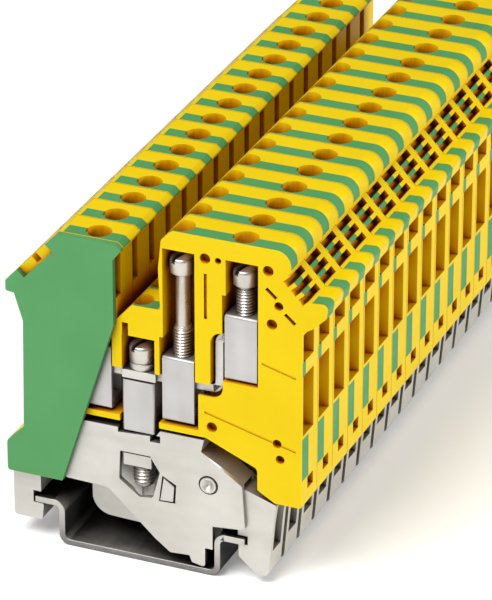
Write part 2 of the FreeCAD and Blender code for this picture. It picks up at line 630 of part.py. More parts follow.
def foot_nut():
    """The square nut between the bar and the bracket."""
    half = NUT_LENGTH / 2
    block = box(FOOT_SCREW_X - half, FOOT_SCREW_X + half, METAL_FRONT, METAL_BACK, NUT_BOTTOM, NUT_TOP)
    upright_edges = [e for e in block.Edges if abs(e.tangentAt(e.FirstParameter).z) > 0.9]
    block = block.makeFillet(0.4, upright_edges)
    bore = upright(FOOT_SCREW_X, AXIS_Y, NUT_BOTTOM - 1.0, NUT_TOP + 1.0,
                   FOOT_THREAD_RADIUS + RUNNING_GAP)
    return block.cut(bore)


def bracket_top_edge():
    """The upper edge of the bracket from right to left, where its sheet folds back."""
    top = FOOT_CEILING - 0.5
    return [
        (BRACKET_RIGHT - 0.2, RIGHT_BASE + 1.7),
        (FOOT_SCREW_X + 10.4, top - 2.1),
        (FOOT_SCREW_X + 10.9, top),
        (FOOT_SCREW_X + 3.7, top),
    ]


def bracket_upper_left():
    """The rest of the upper edge: the notch beside the nut, and the shelf left of it."""
    shelf = NUT_BOTTOM - 0.2
    return [
        (FOOT_SCREW_X + 3.7, shelf - 0.9),
        (FOOT_SCREW_X + 2.0, shelf - 0.9),
        (FOOT_SCREW_X + 2.0, shelf),
        (FOOT_SCREW_X - 3.3, shelf - 0.3),
        (FOOT_SCREW_X - 3.3, shelf + 0.5),
        (FOOT_SCREW_X - 8.9, shelf + 0.5),
        (BRACKET_LEFT, LEFT_BASE + 4.6),
    ]


def front_plate_corners():
    """The bracket's front plate: it dips into the rail's channel and rests over its right flange."""
    over_flange = RAIL_HEIGHT + RAIL_GAP
    lower = [
        (BRACKET_LEFT, LEFT_BASE + 0.1, 0.4),
        (FOOT_SCREW_X - 5.1, LEFT_BASE - 0.1, 1.0),
        (FOOT_SCREW_X + 2.7, 4.5),
        (FOOT_SCREW_X + 5.2, 2.6, 0.6),
        (INSIDE_CHANNEL - 3.85, 2.8),
        (INSIDE_CHANNEL - 3.45, RAIL_SHEET + 0.7, 0.3),
        (INSIDE_CHANNEL - 1.25, RAIL_SHEET + 0.2, 0.5),
        (INSIDE_CHANNEL - 1.25, 4.6),
        (INSIDE_CHANNEL, 4.6),
        (INSIDE_CHANNEL, over_flange + 0.9),
        (BRACKET_RIGHT + 0.3, over_flange + 1.4, 0.5),
    ]
    return lower + bracket_top_edge() + bracket_upper_left()


def back_plate_corners():
    """The bracket's back plate, with a round lobe at its lower left."""
    over_flange = RAIL_HEIGHT + RAIL_GAP
    lower = [
        (BRACKET_LEFT, LEFT_BASE + 0.1, 0.4),
        (-INSIDE_CHANNEL + 2.75, LEFT_BASE - 0.2, 0.5),
        (-INSIDE_CHANNEL + 2.75, 4.6, 3.2),
        (FOOT_SCREW_X + 2.0, 4.2),
        (FOOT_SCREW_X + 5.2, 2.6, 0.6),
        (INSIDE_CHANNEL - 1.25, 2.6, 0.5),
        (INSIDE_CHANNEL, 4.6),
        (INSIDE_CHANNEL, over_flange + 0.2),
        (BRACKET_RIGHT + 0.3, over_flange + 0.2),
    ]
    return lower + bracket_top_edge() + bracket_upper_left()


def claw_corners():
    """The side view of the claw that grips the rail's right flange from below."""
    beside_flange = FLANGE_EDGE + RAIL_GAP
    under_flange = FLANGE_UNDERSIDE - RAIL_GAP
    outer = beside_flange + CLAW_REACH
    return [
        (beside_flange - 1.6, RIGHT_BASE + 1.2),
        (beside_flange - 1.6, RAIL_HEIGHT + RAIL_GAP),
        (beside_flange, RAIL_HEIGHT + RAIL_GAP),
        (beside_flange, under_flange),
        (beside_flange - 1.5, under_flange, 0.2),
        (beside_flange - 1.5, under_flange - 2.2, 0.8),
        (beside_flange + 1.9, 1.1, 0.5),
        (beside_flange + 3.4, 1.7, 0.8),
        (outer - 0.5, RIGHT_BASE - 4.2, 1.5),
        (outer, RIGHT_BASE - 0.8, 0.4),
        (beside_flange + 0.2, RIGHT_BASE + 0.7),
    ]


def claw():
    """The claw: two cheeks side by side, closed by one wall at their lower end."""
    body = slab(claw_corners(), CLAW_FRONT, CLAW_BACK)
    beside_flange = FLANGE_EDGE + RAIL_GAP
    slot = box(beside_flange + 0.9, beside_flange + CLAW_REACH + 1.0, CLAW_FRONT + BRACKET_SHEET,
               CLAW_BACK - BRACKET_SHEET, CLAW_SLOT_BOTTOM, RIGHT_BASE + 2.0)
    return body.cut(slot)


def folded_web(edge):
    """The folded-back sheet that joins both plates along a stretch of the upper edge."""
    inner = [(x - BRACKET_SHEET * 0.7, z - BRACKET_SHEET) for x, z in reversed(edge)]
    return slab(edge + inner, BRACKET_FRONT, BRACKET_BACK)


def tab_corners(inset):
    """The tab pressed out of the bracket's front plate, or a smaller one inside it."""
    return [
        (FOOT_SCREW_X + 4.0 + inset, 15.7 - inset),
        (FOOT_SCREW_X + 6.3 - inset, 14.5 - inset),
        (FOOT_SCREW_X + 6.1 - inset, 11.3 + inset),
        (FOOT_SCREW_X + 3.4 + inset, 11.2 + inset),
    ]


def foot_bracket():
    """The folded sheet bracket that hooks the block to the rail's right flange."""
    front = slab(front_plate_corners(), BRACKET_FRONT, BRACKET_FRONT + BRACKET_SHEET)
    back = slab(back_plate_corners(), BRACKET_BACK - BRACKET_SHEET, BRACKET_BACK)
    window = slab([
        (FOOT_SCREW_X - 3.0, 18.6, 0.3),
        (FOOT_SCREW_X + 2.0, 18.6, 0.3),
        (FOOT_SCREW_X + 3.6, 16.1, 0.3),
        (FOOT_SCREW_X + 2.4, 11.5, 0.5),
        (FOOT_SCREW_X + 0.2, 11.2, 0.5),
        (FOOT_SCREW_X - 3.2, 13.7, 0.4),
    ], BRACKET_FRONT - 1.0, BRACKET_FRONT + 2 * BRACKET_SHEET)
    webs = [folded_web(bracket_top_edge()), folded_web(bracket_upper_left()[4:6])]
    rivet_x = FOOT_SCREW_X + 11.6
    rivet_z = 15.7
    rivet_ring = across(rivet_x, rivet_z, BRACKET_FRONT - 1.0, BRACKET_FRONT + LINE_DEPTH,
                        RIVET_RADIUS + LINE_WIDTH)
    rivet = across(rivet_x, rivet_z, BRACKET_FRONT - 0.2, BRACKET_BACK - 0.4, RIVET_RADIUS)
    rivet_face = FreeCAD.Vector(rivet_x, BRACKET_FRONT - 0.21, rivet_z)
    dimple = Part.makeCone(RIVET_RADIUS * 0.8, 0.2, 0.7, rivet_face, Y_AXIS)
    tab_moat = slab(tab_corners(0.0), BRACKET_FRONT - 1.0, BRACKET_FRONT + LINE_DEPTH)
    tab = slab(tab_corners(LINE_WIDTH), BRACKET_FRONT - 0.15, BRACKET_FRONT + BRACKET_SHEET / 2 + 0.1)
    tongue = box(FOOT_SCREW_X - 2.5, FOOT_SCREW_X + 2.1, BRACKET_FRONT + 0.2, BRACKET_FRONT + BRACKET_SHEET,
                 TONGUE_BOTTOM, 19.0)
    tongue_line = box(FOOT_SCREW_X - 2.5, FOOT_SCREW_X + 2.1, BRACKET_FRONT - 1.0,
                      BRACKET_FRONT + LINE_DEPTH, 18.3, 18.6)
    screw_way = upright(FOOT_SCREW_X, AXIS_Y, 0.0, FOOT_CEILING, FOOT_THREAD_RADIUS + SIDE_GAP)
    face = fused([front.cut([window, rivet_ring, tab_moat]), tongue]).cut(tongue_line)
    whole = fused([face, back, claw(), rivet.cut(dimple), tab] + webs)
    return whole.cut(screw_way)


def foot_jaw():
    """The sliding jaw that hooks under the rail's left flange."""
    hook_right = -FLANGE_EDGE + JAW_TRAVEL - RAIL_GAP
    outer = -FLANGE_EDGE - 3.7
    neck_bottom = RAIL_HEIGHT + 0.8
    stem_left = JAW_STEM_RIGHT - JAW_STEM_WIDTH
    stem_top = LEFT_BASE + 5.4
    hook = slab([
        (outer, JAW_BOTTOM, 0.6),
        (hook_right - 0.3, JAW_BOTTOM, 0.4),
        (hook_right, FLANGE_UNDERSIDE - RAIL_GAP, 0.3),
        (-FLANGE_EDGE - 0.4, FLANGE_UNDERSIDE - RAIL_GAP),
        (-FLANGE_EDGE - 0.4, neck_bottom),
        (JAW_STEM_RIGHT, neck_bottom),
        (JAW_STEM_RIGHT, stem_top),
        (stem_left, stem_top, 0.4),
        (stem_left, LEFT_BASE - POCKET_GAP),
        (outer, LEFT_BASE - POCKET_GAP, 0.4),
    ], METAL_FRONT, METAL_BACK)
    inner_front = BRACKET_FRONT + BRACKET_SHEET + SIDE_GAP
    inner_back = BRACKET_BACK - BRACKET_SHEET - SIDE_GAP
    tongue = box(JAW_STEM_RIGHT - 1.0, FOOT_SCREW_X - 8.2, inner_front, inner_back,
                 LEFT_BASE + 1.6, LEFT_BASE + 3.6)
    return fused([hook, tongue])


# ---- rail and end cover --------------------------------------------------------------------
def din_rail():
    """The slotted top-hat rail."""
    half = FLANGE_EDGE
    wall = HALF_CHANNEL - RAIL_SHEET
    outer_bend = RAIL_BEND_RADIUS + RAIL_SHEET
    profile = [
        (-half, RAIL_HEIGHT), (-half, FLANGE_UNDERSIDE),
        (-HALF_CHANNEL, FLANGE_UNDERSIDE, RAIL_BEND_RADIUS), (-HALF_CHANNEL, 0.0, outer_bend),
        (HALF_CHANNEL, 0.0, outer_bend), (HALF_CHANNEL, FLANGE_UNDERSIDE, RAIL_BEND_RADIUS),
        (half, FLANGE_UNDERSIDE), (half, RAIL_HEIGHT),
        (wall, RAIL_HEIGHT, outer_bend), (wall, RAIL_SHEET, RAIL_BEND_RADIUS),
        (-wall, RAIL_SHEET, RAIL_BEND_RADIUS), (-wall, RAIL_HEIGHT, outer_bend),
    ]
    rail = slab(profile, -ROW_LENGTH / 2, ROW_LENGTH / 2)
    first = -RAIL_SLOT_PITCH * (RAIL_SLOT_COUNT - 1) / 2
    radius = RAIL_SLOT_WIDTH / 2
    straight = RAIL_SLOT_LENGTH - RAIL_SLOT_WIDTH
    for number in range(RAIL_SLOT_COUNT):
        y = first + number * RAIL_SLOT_PITCH
        slot = box(-radius, radius, y - straight / 2, y + straight / 2, -1.0, RAIL_SHEET + 1.0)
        for end in (y - straight / 2, y + straight / 2):
            slot = slot.fuse(upright(0.0, end, -1.0, RAIL_SHEET + 1.0, radius))
        rail = rail.cut(slot)
    return rail


def end_cover():
    """The green cover plate, cut away along a slanting line, with its two pegs."""
    cut_top = (VALLEY_LEFT, VALLEY_FLOOR - 3.5)
    cut_foot = (-12.3, LEFT_BASE)
    corners = housing_left_edge() + left_tower_lip() + [cut_top, cut_foot]
    plate = slab(corners, -COVER_GAP - COVER_SHEET, -COVER_GAP)
    pegs = [across(x, z, -COVER_GAP - 0.5, SOCKET_DEPTH - COVER_GAP, SOCKET_RADIUS)
            for x, z in cover_sockets()]
    notch = groove_in_slope(LEFT_SLOPE_TOP, LEFT_SLOPE_FOOT, 0.5, COVER_NOTCH_WIDTH, COVER_NOTCH_DEPTH,
                            -COVER_GAP - 2 * COVER_SHEET, -COVER_GAP)
    return fused([plate.cut(notch)] + pegs)


# ---- the files -----------------------------------------------------------------------------
def save(name, shape):
    """Write one node."""
    shape.exportStep("parts/" + name + ".step")


def save_row(name, shape, first):
    """Write one node that holds the same piece of every block from the given one on."""
    copies = [placed(shape, index) for index in range(first, BLOCK_COUNT)]
    solids = [solid for copy in copies for solid in copy.Solids]
    save(name, Part.makeCompound(solids))


def main():
    """Build every piece and write it where it belongs in the row."""
    os.makedirs("parts", exist_ok=True)
    body = housing_body()
    inlay = inlay_solids(body)
    housing = body.cut(inlay)
    inlay_group = Part.makeCompound(inlay)
    for index in range(BLOCK_COUNT):
        save("housing_%02d" % (index + 1), placed(housing, index))
        save("green_inlay_%02d" % (index + 1), placed(inlay_group, index))
    lower_bottom = BAR_UNDERSIDE - CAGE_WIRE_SPACE - CAGE_BOTTOM
    clamps = {
        "left": (LEFT_SCREW_X, lower_bottom, BAR_TOP, LEFT_CLAMP_HEAD_TOP, INNER_NECK_BOTTOM),
        "inner": (INNER_SCREW_X, lower_bottom, BAR_TOP, CLAMP_HEAD_TOP, INNER_NECK_BOTTOM),
        "outer": (OUTER_SCREW_X, lower_bottom + BAR_STEP, UPPER_BAR_TOP, CLAMP_HEAD_TOP,
                  CLAMP_HEAD_TOP - CLAMP_HEAD_HEIGHT),
    }
    screws = []
    cages = []
    for side, (x, cage_bottom, bar_top, head_top, neck_bottom) in clamps.items():
        screw = clamp_screw(x, bar_top, head_top, neck_bottom)
        cage = clamp_cage(x, cage_bottom)
        save(side + "_clamp_screw", placed(screw, 0))
        save(side + "_clamp_cage", placed(cage, 0))
        screws.append(screw)
        cages.append(cage)
    single = {
        "current_bar": current_bar(),
        "foot_bracket": foot_bracket(),
        "foot_nut": foot_nut(),
        "foot_screw": foot_screw(),
        "foot_washer": foot_washer(),
        "foot_jaw": foot_jaw(),
    }
    for name, shape in single.items():
        save(name, placed(shape, 0))
        save_row("row_" + name + "s", shape, 1)
    save_row("row_clamp_screws", Part.makeCompound(screws), 1)
    save_row("row_clamp_cages", Part.makeCompound(cages), 1)
    save("din_rail", din_rail())
    save("end_cover", placed(end_cover(), 0))


main()
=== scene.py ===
"""Looks of the earth terminal block row: materials, cut threads, studio and camera."""
import json
import math

import bpy
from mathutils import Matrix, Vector


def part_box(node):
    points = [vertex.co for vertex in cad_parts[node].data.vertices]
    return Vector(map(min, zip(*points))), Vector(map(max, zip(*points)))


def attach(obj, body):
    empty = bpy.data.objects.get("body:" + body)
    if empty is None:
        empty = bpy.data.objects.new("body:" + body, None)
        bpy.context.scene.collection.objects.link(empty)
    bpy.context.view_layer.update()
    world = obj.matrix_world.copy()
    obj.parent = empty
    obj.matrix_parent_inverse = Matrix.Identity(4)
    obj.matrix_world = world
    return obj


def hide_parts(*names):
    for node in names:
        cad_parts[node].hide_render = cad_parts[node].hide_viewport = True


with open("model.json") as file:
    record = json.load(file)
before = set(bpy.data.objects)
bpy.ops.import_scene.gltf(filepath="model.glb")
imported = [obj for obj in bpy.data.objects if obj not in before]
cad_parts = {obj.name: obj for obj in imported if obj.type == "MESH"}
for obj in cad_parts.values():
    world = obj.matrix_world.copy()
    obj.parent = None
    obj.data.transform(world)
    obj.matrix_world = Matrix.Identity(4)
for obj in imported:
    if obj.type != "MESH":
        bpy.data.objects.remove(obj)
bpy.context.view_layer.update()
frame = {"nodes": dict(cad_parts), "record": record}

MM = 0.001

# ---- edges ---------------------------------------------------------------------------------
WELD_DISTANCE = 0.002 * MM
PLASTIC_EDGE = 0.12 * MM
SHEET_EDGE = 0.10 * MM
CLAMP_EDGE = 0.14 * MM
EDGE_ANGLE = math.radians(35)
SCREW_EDGE = 0.06 * MM
SCREW_EDGE_ANGLE = math.radians(50)
EDGE_SEGMENTS = 2

# ---- how far the painted shade reaches into recesses -------------------------------------------
PLASTIC_SHADE_REACH = 5.0 * MM
METAL_SHADE_REACH = 2.5 * MM
FOOT_SHADE_REACH = 4.0 * MM
RAIL_SHADE_REACH = 14.0 * MM

# ---- heights of the surface grain ------------------------------------------------------------
FLOW_HEIGHT = 0.02 * MM
GRAIN_HEIGHT = 0.006 * MM
BRUSH_HEIGHT = 0.008 * MM
PIT_HEIGHT = 0.006 * MM
GLOW_DEPTH = 1.2 * MM

# ---- screws --------------------------------------------------------------------------------
CLAMP_THREAD_RADIUS = 1.5 * MM
CLAMP_PITCH = 0.5 * MM
CLAMP_HEAD_HEIGHT = 2.9 * MM
CLAMP_NECK_RADIUS = 1.1 * MM
CLAMP_THREAD_END = 41.0 * MM
FOOT_THREAD_RADIUS = 1.75 * MM
FOOT_PITCH = 0.6 * MM
FOOT_HEAD_HEIGHT = 3.0 * MM
SLOT_WIDTH = 0.8 * MM
SLOT_DEPTH = 1.1 * MM
SLOT_TURN = math.radians(65)
SLOT_REACH_SHARE = 1.5
SLOT_OVERSHOOT = 1.0 * MM
THREAD_DEPTH_SHARE = 0.5
THREAD_FADE_SHARE = 1.2
THREAD_RIDGE_GAIN = 1.25
THREAD_ROOT_FLAT = 0.12
THREAD_TIP_TAPER = 0.45 * MM
THREAD_TIP_LENGTH = 0.1 * MM
FOOT_TIP_TAPER = 0.5 * MM
FOOT_TIP_LENGTH = 0.15 * MM
NECK_STEP = 0.1 * MM
NECK_FILLET = 0.2 * MM
HEAD_STEP = 0.01 * MM
HEAD_RIM_STEPS = 6
HEAD_DOME_STEPS = 6
HEAD_RIM = 0.55 * MM
HEAD_DOME = 0.22 * MM
HEAD_UNDER_EDGE = 0.15 * MM
ROUND_STEPS = 56
ROWS_PER_PITCH = 8

# ---- camera: the view that the object is shown from ------------------------------------------
AZIMUTH = math.radians(22.8)
ELEVATION = math.radians(27.05)
CAMERA_DISTANCE = 669.6 * MM
CAMERA_LENS = 272.6
AIM_X = 17.77 * MM
AIM_Z = 48.37 * MM

# ---- floor and light -----------------------------------------------------------------------
FLOOR_HALF = 1.6
FLOOR_GLOW = 0.22
ROOM_STRENGTH = 0.20
LIGHT_AIM = (0.0, -0.03, 0.03)
KEY_PLACE = (-0.20, -0.56, 0.86)
KEY_SIZE = 0.55
KEY_POWER = 10.2
FILL_PLACE = (0.88, 0.40, 0.42)
FILL_SIZE = 0.30
FILL_POWER = 6.5


# ---- node graphs ---------------------------------------------------------------------------
class Graph:
    """A material's node tree, with short calls to add and join nodes."""

    def __init__(self, name):
        self.material = bpy.data.materials.new(name)
        self.material.use_nodes = True
        self.tree = self.material.node_tree
        self.tree.nodes.clear()
        self.shader = self.add("ShaderNodeBsdfPrincipled")
        output = self.add("ShaderNodeOutputMaterial")
        self.join(self.shader, "BSDF", output, "Surface")
        self.place = self.add("ShaderNodeTexCoord")

    def add(self, kind, **settings):
        """A new node with its properties set."""
        node = self.tree.nodes.new(kind)
        for key, value in settings.items():
            setattr(node, key, value)
        return node

    def join(self, source, output, target, socket):
        """A link from one node's output to another's input."""
        self.tree.links.new(source.outputs[output], target.inputs[socket])

    def set(self, **values):
        """Values on the shader's own sockets."""
        for key, value in values.items():
            self.shader.inputs[key.replace("_", " ")].default_value = value

    def noise(self, scale, detail=3.0, stretch=(1.0, 1.0, 1.0)):
        """Noise in object space, with its scale in cycles per metre."""
        mapping = self.add("ShaderNodeMapping")
        mapping.inputs["Scale"].default_value = stretch
        self.join(self.place, "Object", mapping, "Vector")
        noise = self.add("ShaderNodeTexNoise")
        noise.inputs["Scale"].default_value = scale
        noise.inputs["Detail"].default_value = detail
        self.join(mapping, "Vector", noise, "Vector")
        return noise

    def ramp(self, source, output, stops):
        """A colour ramp over a value."""
        ramp = self.add("ShaderNodeValToRGB")
        elements = ramp.color_ramp.elements
        while len(elements) < len(stops):
            elements.new(0.5)
        for element, (position, colour) in zip(elements, stops):
            element.position = position
            element.color = (*colour, 1.0)
        self.join(source, output, ramp, "Fac")
        return ramp

    def remap(self, source, output, low, high):
        """A value taken from 0..1 into low..high."""
        node = self.add("ShaderNodeMapRange")
        node.inputs["From Min"].default_value = 0.3
        node.inputs["From Max"].default_value = 0.7
        node.inputs["To Min"].default_value = low
        node.inputs["To Max"].default_value = high
        self.join(source, output, node, "Value")
        return node

    def painted_shade(self, source, reach, shade_tints):
        """The source's colour with painted shade, darkened by ambient occlusion in recesses narrower than
        reach.
        """
        # painted shade: occlusion finds the recesses and the ramp turns it into a darkening colour
        shade_occlusion = self.add("ShaderNodeAmbientOcclusion", samples=6)
        shade_occlusion.inputs["Distance"].default_value = reach
        shade_tint = self.ramp(shade_occlusion, "AO", shade_tints)
        mix = self.add("ShaderNodeMix", data_type="RGBA", blend_type="MULTIPLY")
        mix.inputs["Factor"].default_value = 1.0
        self.tree.links.new(source.outputs["Color"], mix.inputs["A"])
        self.tree.links.new(shade_tint.outputs["Color"], mix.inputs["B"])
        self.tree.links.new(mix.outputs["Result"], self.shader.inputs["Base Color"])

    def bump(self, layers):
        """Bumps stacked one on another; a layer is (node, output, height in metres, strength)."""
        below = None
        for node, output, height, strength in layers:
            bump = self.add("ShaderNodeBump")
            bump.inputs["Distance"].default_value = height
            bump.inputs["Strength"].default_value = strength
            self.join(node, output, bump, "Height")
            if below is not None:
                self.join(below, "Normal", bump, "Normal")
            below = bump
        self.join(below, "Normal", self.shader, "Normal")


# painted shade: colour multipliers over ambient occlusion, near black in the tightest recesses, brown,
# orange or grey in shallower ones, none on open faces
YELLOW_PAINTED_SHADE = [(0.08, (0.06, 0.010, 0.0)), (0.28, (0.52, 0.17, 0.01)), (0.48, (1.0, 0.50, 0.12)),
                  (0.70, (1.0, 1.0, 1.0))]
GREEN_PAINTED_SHADE = [(0.05, (0.10, 0.10, 0.10)), (0.35, (0.45, 0.48, 0.45)), (0.75, (1.0, 1.0, 1.0))]
METAL_PAINTED_SHADE = [(0.10, (0.03, 0.027, 0.027)), (0.38, (0.30, 0.285, 0.27)), (0.66, (1.0, 1.0, 1.0))]
# painted shadow: the rail's channel under the blocks is darkened to near black
RAIL_PAINTED_SHADE = [(0.36, (0.012, 0.012, 0.012)), (0.52, (0.08, 0.077, 0.074)), (0.66, (1.0, 1.0, 1.0))]


def moulded_plastic(name, pale, deep, roughness, glow, painted_shade):
    """Moulded polyamide: slight clouding, painted shade in recesses, flow marks, a spark-eroded grain and
    some glow.
    """
    graph = Graph(name)
    cloud = graph.noise(90.0, 4.0)
    colour = graph.ramp(cloud, "Fac", [(0.30, deep), (0.70, pale)])
    # painted shade: the plastic's colour darkened in recesses
    graph.painted_shade(colour, PLASTIC_SHADE_REACH, painted_shade)
    wear = graph.noise(420.0, 5.0)
    gloss = graph.remap(wear, "Fac", roughness - 0.05, roughness + 0.07)
    graph.join(gloss, "Result", graph.shader, "Roughness")
    grain = graph.noise(9000.0, 2.0)
    flow = graph.noise(260.0, 2.0, (1.0, 1.0, 0.35))
    graph.bump([(flow, "Fac", FLOW_HEIGHT, 0.25), (grain, "Fac", GRAIN_HEIGHT, 0.5)])
    graph.set(IOR=1.45, Specular_IOR_Level=0.12, Subsurface_Weight=glow, Subsurface_Scale=GLOW_DEPTH,
              Subsurface_Radius=(1.0, 0.55, 0.12))
    return graph.material


def plated_metal(name, pale, deep, roughness, stretch, brush, shade_reach, painted_shade=METAL_PAINTED_SHADE):
    """Plated steel: cloudy zinc, painted shade in recesses, fine drawing lines along one direction, and
    small pits.
    """
    graph = Graph(name)
    cloud = graph.noise(160.0, 6.0)
    colour = graph.ramp(cloud, "Fac", [(0.28, deep), (0.72, pale)])
    # painted shade: the metal's colour darkened in recesses
    graph.painted_shade(colour, shade_reach, painted_shade)
    smear = graph.noise(700.0, 4.0, stretch)
    gloss = graph.remap(smear, "Fac", roughness - 0.07, roughness + 0.10)
    graph.join(gloss, "Result", graph.shader, "Roughness")
    lines = graph.noise(5200.0, 2.0, stretch)
    pits = graph.noise(2600.0, 3.0)
    graph.bump([(lines, "Fac", BRUSH_HEIGHT, brush), (pits, "Fac", PIT_HEIGHT, 0.35)])
    graph.set(Metallic=0.8)
    return graph.material


YELLOW = moulded_plastic("yellow_polyamide", (0.80, 0.575, 0.004), (0.76, 0.535, 0.002), 0.42, 0.04,
                         YELLOW_PAINTED_SHADE)
GREEN = moulded_plastic("green_polyamide", (0.092, 0.305, 0.105), (0.074, 0.270, 0.088), 0.44, 0.03,
                        GREEN_PAINTED_SHADE)
COVER_GREEN = moulded_plastic("green_cover_polyamide", (0.100, 0.325, 0.118), (0.088, 0.300, 0.104),
                              0.46, 0.03, GREEN_PAINTED_SHADE)
RAIL_STEEL = plated_metal("rail_zinc", (0.60, 0.575, 0.54), (0.50, 0.475, 0.45), 0.42,
                          (1.0, 0.04, 1.0), 0.5, RAIL_SHADE_REACH, RAIL_PAINTED_SHADE)
FOOT_STEEL = plated_metal("foot_zinc", (0.66, 0.635, 0.59), (0.57, 0.545, 0.50), 0.46,
                          (0.08, 1.0, 1.0), 0.4, FOOT_SHADE_REACH)
CLAMP_STEEL = plated_metal("clamp_zinc", (0.58, 0.565, 0.55), (0.50, 0.485, 0.47), 0.44,
                           (1.0, 1.0, 0.06), 0.4, METAL_SHADE_REACH)
SCREW_STEEL = plated_metal("screw_zinc", (0.66, 0.62, 0.56), (0.50, 0.47, 0.43), 0.32,
                           (1.0, 1.0, 1.0), 0.3, METAL_SHADE_REACH)
BAR_METAL = plated_metal("bar_tin", (0.68, 0.655, 0.61), (0.58, 0.555, 0.52), 0.36,
                         (0.05, 1.0, 1.0), 0.4, METAL_SHADE_REACH)
SLOT_MATERIALS = {
    "yellow_housing": YELLOW,
    "green_inlay": GREEN,
    "green_cover": COVER_GREEN,
    "rail_steel": RAIL_STEEL,
    "foot_steel": FOOT_STEEL,
    "clamp_steel": CLAMP_STEEL,
    "screw_steel": SCREW_STEEL,
    "tinned_bar": BAR_METAL,
}
SLOT_EDGES = {
    "yellow_housing": PLASTIC_EDGE,
    "green_cover": PLASTIC_EDGE,
    "rail_steel": SHEET_EDGE,
    "foot_steel": SHEET_EDGE,
    "clamp_steel": CLAMP_EDGE,
    "tinned_bar": CLAMP_EDGE,
}


# ---- CAD nodes -----------------------------------------------------------------------------
def round_edges(piece, width):
    """Small rounded edges, made by modifiers on a CAD node."""
    weld = piece.modifiers.new("weld", "WELD")
    weld.merge_threshold = WELD_DISTANCE
    bevel = piece.modifiers.new("edges", "BEVEL")
    bevel.width = width
    bevel.segments = EDGE_SEGMENTS
    bevel.limit_method = "ANGLE"
    bevel.angle_limit = EDGE_ANGLE
    bevel.harden_normals = True
    bevel.miter_outer = "MITER_ARC"


def dress_cad_nodes():
    """Every CAD node gets the material and the edges of its slot."""
    for entry in frame["record"]["subparts"]:
        piece = frame["nodes"][entry["node"]]
        piece.data.materials.clear()
        piece.data.materials.append(SLOT_MATERIALS[entry["material_slot"]])
        width = SLOT_EDGES.get(entry["material_slot"])
        if width is not None:
            round_edges(piece, width)


# ---- screws with cut threads -----------------------------------------------------------------
def thread_radius(radius, pitch, z, turn, start, end):
    """Radius of a threaded rod at a height and an angle, with the thread fading at both ends."""
    depth = pitch * THREAD_DEPTH_SHARE
    phase = (z / pitch - turn) % 1.0
    ridge = 1.0 - abs(2.0 * phase - 1.0)
    crest = min(1.0, max(0.0, ridge * THREAD_RIDGE_GAIN - THREAD_ROOT_FLAT))
    fade_length = THREAD_FADE_SHARE * pitch
    fade = min(1.0, (z - start) / fade_length, (end - z) / fade_length)
    return radius - depth + depth * crest * max(0.0, fade)


def thread_levels(radius, pitch, start, end):
    """Rings of a threaded stretch."""
    count = int(round((end - start) / pitch * ROWS_PER_PITCH))
    levels = []
    for row in range(count + 1):
        z = start + (end - start) * row / count
        levels.append((z, lambda turn, z=z: thread_radius(radius, pitch, z, turn, start, end)))
    return levels


def plain_level(z, radius):
    """One round ring."""
    return (z, lambda turn: radius)


def head_levels(bottom, top, radius):
    """Rings of a cheese head: sharp under edge, rounded rim and a slightly domed top."""
    levels = [plain_level(bottom, radius - HEAD_UNDER_EDGE), plain_level(bottom + HEAD_UNDER_EDGE, radius)]
    side_top = top - HEAD_DOME - HEAD_RIM
    for step in range(HEAD_RIM_STEPS + 1):
        angle = math.pi / 2 * step / HEAD_RIM_STEPS
        levels.append(plain_level(side_top + HEAD_RIM * math.sin(angle),
                                  radius - HEAD_RIM * (1 - math.cos(angle))))
    inner = radius - HEAD_RIM
    for step in range(1, HEAD_DOME_STEPS):
        share = step / HEAD_DOME_STEPS
        levels.append(plain_level(top - HEAD_DOME * (1 - share) ** 2, inner * (1 - share)))
    return levels


def turned_mesh(name, levels, x, y):
    """A closed mesh through the rings, capped at both ends."""
    vertices = []
    for z, radius_at in levels:
        for k in range(ROUND_STEPS):
            turn = k / ROUND_STEPS
            radius = radius_at(turn)
            angle = 2 * math.pi * turn
            vertices.append((x + radius * math.cos(angle), y + radius * math.sin(angle), z))
    faces = []
    for row in range(len(levels) - 1):
        for k in range(ROUND_STEPS):
            after = (k + 1) % ROUND_STEPS
            low = row * ROUND_STEPS
            high = low + ROUND_STEPS
            faces.append((low + k, low + after, high + after, high + k))
    last = (len(levels) - 1) * ROUND_STEPS
    faces.append(tuple(reversed(range(ROUND_STEPS))))
    faces.append(tuple(last + k for k in range(ROUND_STEPS)))
    mesh = bpy.data.meshes.new(name)
    mesh.from_pydata(vertices, [], faces)
    mesh.validate()
    return mesh


def slot_cutter(x, y, top, radius):
    """A box that cuts a screwdriver slot."""
    half = SLOT_WIDTH / 2
    reach = radius * SLOT_REACH_SHARE
    corners = []
    for z in (top - SLOT_DEPTH, top + SLOT_OVERSHOOT):
        for along, aside in ((-reach, -half), (reach, -half), (reach, half), (-reach, half)):
            corners.append((x + along * math.cos(SLOT_TURN) - aside * math.sin(SLOT_TURN),
                            y + along * math.sin(SLOT_TURN) + aside * math.cos(SLOT_TURN), z))
    faces = [(3, 2, 1, 0), (4, 5, 6, 7), (0, 1, 5, 4), (1, 2, 6, 5), (2, 3, 7, 6), (3, 0, 4, 7)]
    mesh = bpy.data.meshes.new("slot_cutter")
    mesh.from_pydata(corners, [], faces)
    cutter = bpy.data.objects.new("slot_cutter", mesh)
    bpy.context.scene.collection.objects.link(cutter)
    return cutter


def cut_slot(piece, cutter):
    """The slot, cut and applied to the mesh."""
    cut = piece.modifiers.new("slot", "BOOLEAN")
    cut.object = cutter
    cut.solver = "EXACT"
    graph = bpy.context.evaluated_depsgraph_get()
    mesh = bpy.data.meshes.new_from_object(piece.evaluated_get(graph))
    piece.modifiers.clear()
    piece.data = mesh
    bpy.data.objects.remove(cutter)


